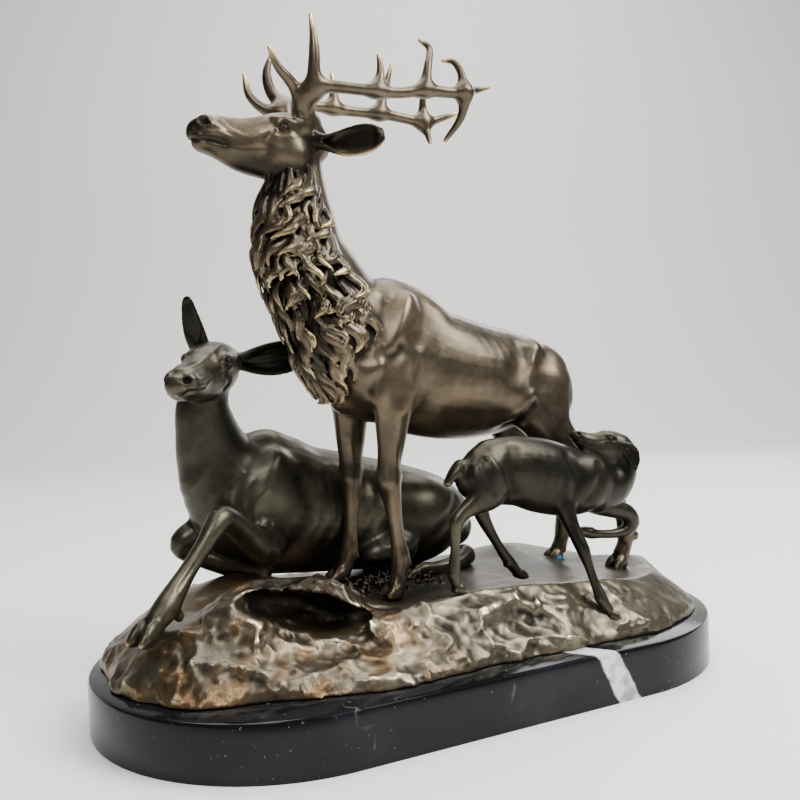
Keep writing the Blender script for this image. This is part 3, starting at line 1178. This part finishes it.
def rim_distance(x, y):
    """How far a place lies inside the ground's foot line, in millimetres."""
    radius = PLINTH_RADIUS - GROUND_SIDE_MARGIN
    half = PLINTH_HALF_LENGTH - GROUND_END_MARGIN - radius
    hollow = 13 * bump(x, y, (-130, -100), (40, 40))
    ragged = 2.6 * lattice_noise(x, y, 0 * x, 26, 5)
    return radius - np.hypot(np.maximum(0, np.abs(x) - half), y) + ragged - hollow


def ground_top(x, y):
    """Height of the ground over the level of the hooves, in millimetres."""
    rise = GROUND_RISE / MM
    top = rise - 0.09 * np.maximum(0, x - 100)
    along = (x - LEDGE_PLACE[0]) / LEDGE_REACH[0]
    across = (y - LEDGE_PLACE[1]) / LEDGE_REACH[1]
    top = top + LEDGE_RISE * np.exp(-along ** 4 - np.abs(across) ** 3)
    for height, centre, reach in HILLS:
        top = top + height * bump(x, y, centre, reach)
    top = top + 1.8 * lattice_noise(x, y, 0 * x, 30, 8)
    inside = rim_distance(x, y)
    climb = np.clip(inside / 27, 0, 1) ** 0.62
    return np.where(inside > 0, top * climb, 3 * inside) - rise


def tufts(clay):
    """Grass and twigs about the stag's forefeet and under the doe."""
    for blade in range(90):
        luck = chance(blade + 1, 3)
        other = chance(blade + 2, 17)
        third = chance(blade + 4, 29)
        x = -52 + 62 * luck
        y = -12 + 34 * other - 0.10 * abs(x + 20)
        angle = math.tau * third
        reach = 2.4 + 3.4 * other
        dx, dy = reach * math.cos(angle), 0.6 * reach * math.sin(angle)
        rise = 1.4 + 2.8 * chance(blade + 9, 41)
        low = clay.skin((x, y, 2))[0][0]
        rows = (
            (*(low - (0, 0, 1)), 1.1, 1.1),
            (low[0] + 0.4 * dx, low[1] + 0.4 * dy, low[2] + rise, 0.95, 0.95),
            (low[0] + dx, low[1] + dy, low[2] + 0.7 * rise, 0.8, 0.8),
            (low[0] + 1.5 * dx, low[1] + 1.5 * dy, low[2] - 0.5, 0.7, 0.7),
        )
        clay.add(loft(rows, (0.3, 0.9, 0.2), steps=2, around=8), 0.8)


def rock_relief(x, y, z, front):
    """How far the rock stands out at each place; front is 1 where its scoops are deepest."""
    bend = 8 * lattice_noise(x, y, z, 24, 3)
    twist = 8 * lattice_noise(x, y, z, 24, 33)
    kink = 2.2 * lattice_noise(x, y, z, 7, 4)
    lean = x + 0.5 * z
    scoops = cell_ridges((lean + bend) * 0.8, y + twist, z * 1.15 - bend + kink, 27, 11)
    small = cell_ridges(lean - bend + kink, y + bend, z + twist + kink, 12, 12)
    rough = lattice_noise(x, y, z, 3.4, 14) + 0.5 * lattice_noise(x, y, z, 1.7, 15)
    wide = lattice_noise(x, y, z, 40, 17)
    strong = np.clip(0.75 + 0.8 * lattice_noise(x, y, z, 34, 23), 0.1, 1.2)
    strong = strong * (1 - 0.3 * smooth_step(-50, -95, x) - 0.3 * smooth_step(50, 110, x))
    patch = np.clip(0.5 + 1.2 * lattice_noise(x, y, z, 26, 24), 0.05, 1.2)
    patch = patch * (1 - 0.6 * smooth_step(20, 80, x))
    relief = (0.10 + 0.90 * front) * strong * (11.5 * np.minimum(scoops, 0.6) - 3.6)
    relief = relief + (0.12 + 0.88 * front) * patch * (4.4 * np.minimum(small, 0.65) - 1.4)
    return relief + (0.14 + 0.45 * front) * rough + 1.2 * wide


def make_ground():
    """Rocky ground: broad top, ragged front with scoops, a ledge and its dark hollow."""
    floor = -GROUND_RISE / MM
    low = (-PLINTH_HALF_LENGTH, -PLINTH_RADIUS, floor - 3)
    high = (PLINTH_HALF_LENGTH, PLINTH_RADIUS, 36)
    clay = Clay(low, high, GROUND_CELL)
    cut, x, y, z = clay.window(low, high)
    plan_x, plan_y = np.broadcast_arrays(x[:, :, 0], y[:, :, 0])
    height = ground_top(plan_x, plan_y)
    slope_x, slope_y = np.gradient(height, clay.cell)
    steep = 1 / np.sqrt(1 + slope_x ** 2 + slope_y ** 2)
    field = (z - height[:, :, None]) * steep[:, :, None]
    clay.field[cut] = np.clip(field, -BAND, BAND)
    clay.scoop(HOLLOW_PLACE, HOLLOW_RADII, HOLLOW_LEAN, blend=1.5)
    clay.scoop(HOLLOW_FRONT, HOLLOW_FRONT_RADII, HOLLOW_LEAN, blend=9)
    field = clay.field[cut]
    limit = -30 - 40 * smooth_step(-52, -24, plan_x)
    front = np.maximum(smooth_step(0.95, 0.55, steep), smooth_step(limit + 3, limit - 5, plan_y))
    front = (front * (1 - 0.7 * smooth_step(92, 140, plan_x)))[:, :, None]
    near = np.abs(field) < 6
    where = np.nonzero(near)
    places = x[where[0], 0, 0], y[0, where[1], 0], z[0, 0, where[2]]
    field[near] -= rock_relief(*places, np.broadcast_to(front, field.shape)[near])
    clay.field[cut] = field
    clay.soften(1)
    tufts(clay)
    for shade in GROUND_SHADES:
        clay.shade(*shade)
    for place, radius in BLUE_SPOTS:
        clay.blooms.append((place, radius, 1.0))
    clay.field[cut] = np.maximum(clay.field[cut], floor - z)
    return clay.cast("ground")


# Materials

class Value:
    """Shader socket that can be reckoned with like a number."""

    def __init__(self, tree, socket):
        self.tree = tree
        self.socket = socket

    def math(self, operation, *others):
        """Math node on this value and others."""
        inputs = dict(enumerate((self, *others)))
        return self.tree.node("ShaderNodeMath", {"operation": operation}, inputs)

    def __add__(self, other):
        return self.math("ADD", other)

    def __radd__(self, other):
        return self.math("ADD", other)

    def __sub__(self, other):
        return self.math("SUBTRACT", other)

    def __rsub__(self, other):
        return (self * -1) + other

    def __mul__(self, other):
        return self.math("MULTIPLY", other)

    def __rmul__(self, other):
        return self.math("MULTIPLY", other)

    def absolute(self):
        """Value without its sign."""
        return self.math("ABSOLUTE")

    def ramp(self, low, high):
        """Ease from 0 at low to 1 at high."""
        settings = {"interpolation_type": "SMOOTHSTEP"}
        return self.tree.node("ShaderNodeMapRange", settings, {"Value": self, 1: low, 2: high})


class Finish:
    """Material under construction."""

    def __init__(self, name):
        self.material = bpy.data.materials.new(name)
        self.material.use_nodes = True
        self.nodes = self.material.node_tree.nodes
        self.links = self.material.node_tree.links
        self.shader = self.nodes["Principled BSDF"]

    def node(self, kind, settings, inputs, output=0):
        """Node of a kind, with its settings and then the values or links of its sockets."""
        made = self.nodes.new(kind)
        for name, value in settings.items():
            setattr(made, name, value)
        for name, value in inputs.items():
            self.feed(made.inputs[name], value)
        return Value(self, made.outputs[output])

    def feed(self, socket, value):
        """Link or set a socket."""
        if isinstance(value, Value):
            self.links.new(value.socket, socket)
        elif isinstance(value, tuple) and len(value) == 3 and socket.type == "RGBA":
            socket.default_value = (*value, 1)
        else:
            socket.default_value = value

    def mix(self, share, first, second):
        """Colour between two colours."""
        settings = {"data_type": "RGBA"}
        return self.node("ShaderNodeMix", settings, {0: share, 6: first, 7: second}, 2)

    def place(self):
        """Place on the object, in metres."""
        return self.node("ShaderNodeTexCoord", {}, {}, "Object")

    def noise(self, size, detail=3.0, roughness=0.55):
        """Cloudy noise with lumps of about size metres."""
        inputs = {"Vector": self.place(), "Scale": 1 / size, "Detail": detail, "Roughness": roughness}
        return self.node("ShaderNodeTexNoise", {}, inputs)

    def axis(self, index):
        """Place along X, Y or Z on the object, in metres."""
        return self.node("ShaderNodeSeparateXYZ", {}, {"Vector": self.place()}, index)

    def mark(self, name):
        """Value stored on the mesh."""
        return self.node("ShaderNodeAttribute", {"attribute_name": name}, {}, "Fac")

    def bump(self, height, strength, distance):
        """Normal from a height."""
        inputs = {"Height": height, "Strength": strength, "Distance": distance}
        return self.node("ShaderNodeBump", {}, inputs)


def bronze(name, dark, middle, bright, wear, rough, grit, ochre=None):
    """Brown patina over bronze: dark in hollows, rubbed bright on edges."""
    finish = Finish(name)
    edge = finish.mark("edge")
    recess = finish.mark("recess")
    shade = finish.mark("shade")
    bloom = finish.mark("bloom")
    cloud = finish.noise(0.050, 4)
    fleck = finish.noise(0.006, 3)
    grain = finish.noise(0.0011, 2)
    veil = shade.ramp(0.15, 0.9)
    dip = (recess + edge * 0.6 + (cloud - 0.5) * 0.05).ramp(0.04, -0.30)
    hollow = 1 - (1 - dip) * (1 - veil * 0.9)
    rubbed = (edge * 0.55 + recess * 0.75 + (fleck - 0.5) * 0.14).ramp(wear, wear + 0.24)
    foot = 1 - finish.axis(2).ramp(SEAT + 0.0012, SEAT + 0.005)
    rubbed = rubbed * (1 - veil) * (1 - foot)
    tone = finish.mix((cloud + (fleck - 0.5) * 0.3 + recess * 0.2).ramp(0.22, 0.86), dark, middle)
    green = finish.noise(0.030, 3).ramp(0.52, 0.75)
    tone = finish.mix(green * 0.35, tone, (0.060, 0.062, 0.044))
    if ochre:
        left = 1 - finish.axis(0).ramp(-0.070, -0.005)
        tone = finish.mix(left * finish.noise(0.022, 3).ramp(0.40, 0.62) * 0.8, tone, ochre)
    tone = finish.mix(hollow * 0.92, tone, tuple(0.16 * part for part in dark))
    tone = finish.mix(rubbed * 0.9, tone, bright)
    blue = (bloom + (fleck - 0.5) * 0.5).ramp(0.35, 0.75)
    tone = finish.mix(blue, tone, (0.03, 0.22, 0.36))
    finish.feed(finish.shader.inputs["Base Color"], tone)
    finish.feed(
        finish.shader.inputs["Roughness"],
        rough + (fleck - 0.5) * 0.12 + dip * 0.25 - rubbed * 0.06 + blue * 0.3,
    )
    finish.feed(finish.shader.inputs["Metallic"], 0.86 - blue * 0.8)
    finish.feed(finish.shader.inputs["Coat Weight"], 0.12 - hollow * 0.1)
    finish.shader.inputs["Coat Roughness"].default_value = 0.30
    relief = grain * 0.6 + fleck * 0.4
    finish.feed(finish.shader.inputs["Normal"], finish.bump(relief, 0.25, grit))
    return finish.material


def marble():
    """Polished black marble with fine pale veins, specks and one bold white vein."""
    finish = Finish("black_marble")
    cloud = finish.noise(0.06, 5)
    warp = finish.noise(0.035, 3)
    veins = finish.noise(0.11, 4, 0.5)
    thin = 1 - (veins + (warp - 0.5) * 0.18 - 0.5).absolute().ramp(0.0, 0.006)
    thin = thin * cloud.ramp(0.52, 0.66)
    speck = finish.noise(0.0022, 2).ramp(0.70, 0.78)
    x = finish.axis(0)
    y = finish.axis(1)
    z = finish.axis(2)
    wobble = (warp - 0.5) * 0.010 + (finish.noise(0.009, 3) - 0.5) * 0.004
    behind = y - plinth_low.y
    along = x + z * 0.55 + behind * 0.7 + wobble
    across = (along - VEIN_PLACE).absolute()
    bold = 1 - across.ramp(VEIN_HALF_WIDTH * 0.75, VEIN_HALF_WIDTH)
    bold = bold * (1 - behind.ramp(0.016, 0.040))
    base = finish.mix(cloud.ramp(0.42, 0.8), (0.0035, 0.0038, 0.0045), (0.013, 0.0145, 0.017))
    base = finish.mix(thin * 0.5, base, (0.30, 0.31, 0.33))
    base = finish.mix(speck * 0.45, base, (0.36, 0.35, 0.31))
    stain = finish.noise(0.010, 4).ramp(0.42, 0.66)
    white = finish.mix(stain * 0.85, (0.66, 0.67, 0.66), (0.20, 0.22, 0.24))
    base = finish.mix(bold * 0.92, base, white)
    finish.feed(finish.shader.inputs["Base Color"], base)
    finish.feed(finish.shader.inputs["Roughness"], 0.09 + cloud * 0.08)
    finish.shader.inputs["Specular IOR Level"].default_value = 0.30
    finish.shader.inputs["IOR"].default_value = 1.40
    return finish.material


def make_slab():
    """Marble slab: two straight sides, two round ends and a fine chamfer."""
    radius = plinth_high.y
    half = plinth_high.x - radius
    mesh = bmesh.new()
    outline = []
    for end in (1, -1):
        for step in range(SLAB_ARC_STEPS + 1):
            angle = math.pi * step / SLAB_ARC_STEPS - math.pi / 2
            x = end * (half + radius * math.cos(angle))
            outline.append(mesh.verts.new((x, end * radius * math.sin(angle), plinth_low.z)))
    base = mesh.faces.new(outline)
    raised = bmesh.ops.extrude_face_region(mesh, geom=[base])
    upper = {item for item in raised["geom"] if isinstance(item, bmesh.types.BMVert)}
    for vert in upper:
        vert.co.z = plinth_high.z
    bmesh.ops.recalc_face_normals(mesh, faces=mesh.faces[:])
    edges = [edge for edge in mesh.edges if all(vert in upper for vert in edge.verts)]
    bmesh.ops.bevel(mesh, geom=edges, offset=PLINTH_CHAMFER, segments=2, profile=0.5, affect="EDGES")
    data = bpy.data.meshes.new("marble_slab")
    mesh.to_mesh(data)
    mesh.free()
    for face in data.polygons:
        face.use_smooth = len(face.vertices) == 4
    data.set_sharp_from_angle(angle=math.radians(28))
    slab = bpy.data.objects.new("marble_slab", data)
    bpy.context.scene.collection.objects.link(slab)
    slab.data.materials.append(marble())
    return slab


# Camera, light and floor

def make_camera():
    """Camera at the photograph's place."""
    camera = bpy.data.objects.new("camera", bpy.data.cameras.new("camera"))
    bpy.context.scene.collection.objects.link(camera)
    camera.location = CAMERA_PLACE
    camera.rotation_euler = (CAMERA_TILT, CAMERA_ROLL, CAMERA_TURN)
    camera.data.sensor_width = 36
    camera.data.lens = CAMERA_LENS
    camera.data.clip_start = 0.01
    bpy.context.scene.camera = camera


def softbox(name, place, aim, size, watts):
    """Square studio light."""
    lamp = bpy.data.lights.new(name, "AREA")
    lamp.size = size
    lamp.energy = watts
    light = bpy.data.objects.new(name, lamp)
    light.location = place
    light.rotation_euler = (Vector(aim) - Vector(place)).to_track_quat("-Z", "Y").to_euler()
    bpy.context.scene.collection.objects.link(light)


def make_studio():
    """Pale floor that sweeps up behind, and soft light."""
    mesh = bmesh.new()
    profile = [(-5.0, 0.0), (1.6, 0.0)]
    for step in range(1, 13):
        angle = math.pi / 2 * step / 12
        profile.append((1.6 + 0.8 * math.sin(angle), 0.8 - 0.8 * math.cos(angle)))
    profile.append((2.4, 4.0))
    rows = [[mesh.verts.new((x, y, z)) for y, z in profile] for x in (-6, 6)]
    for index in range(len(profile) - 1):
        mesh.faces.new((rows[0][index], rows[1][index], rows[1][index + 1], rows[0][index + 1]))
    for face in mesh.faces:
        face.smooth = True
    data = bpy.data.meshes.new("floor")
    mesh.to_mesh(data)
    mesh.free()
    floor = bpy.data.objects.new("floor", data)
    floor.rotation_euler = (0, 0, CAMERA_TURN)
    bpy.context.scene.collection.objects.link(floor)
    finish = Finish("pale_floor")
    finish.shader.inputs["Base Color"].default_value = (0.80, 0.79, 0.77, 1)
    finish.shader.inputs["Roughness"].default_value = 0.6
    data.materials.append(finish.material)
    studio = bpy.data.worlds.new("studio")
    studio.use_nodes = True
    sky = studio.node_tree.nodes["Background"]
    sky.inputs["Color"].default_value = (0.93, 0.96, 1.0, 1)
    sky.inputs["Strength"].default_value = 0.15
    bpy.context.scene.world = studio
    for name, light in LIGHTS.items():
        softbox(name, *light)


def main():
    """Make every piece, dress it and finish."""
    make_camera()
    figure_bronze = bronze(
        "brown_bronze", (0.033, 0.027, 0.018), (0.160, 0.121, 0.074), (0.74, 0.56, 0.28), 0.30, 0.34,
        0.0004,
    )
    deep_bronze = bronze(
        "deep_bronze", (0.020, 0.018, 0.012), (0.092, 0.079, 0.051), (0.50, 0.38, 0.19), 0.32, 0.36,
        0.0004,
    )
    rock_bronze = bronze(
        "rubbed_bronze", (0.044, 0.037, 0.026), (0.195, 0.164, 0.112), (0.72, 0.62, 0.41), 0.21, 0.33,
        0.0010,
        (0.15, 0.088, 0.034),
    )
    for make, metal in (
        (make_stag, figure_bronze), (make_doe, deep_bronze), (make_fawn, deep_bronze),
        (make_ground, rock_bronze),
    ):
        piece = make()
        piece.data.materials.clear()
        piece.data.materials.append(metal)
        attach(piece, "root")
        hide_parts("bronze_group")
    slab = make_slab()
    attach(slab, "root")
    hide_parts("marble_plinth")
    make_studio()


main()
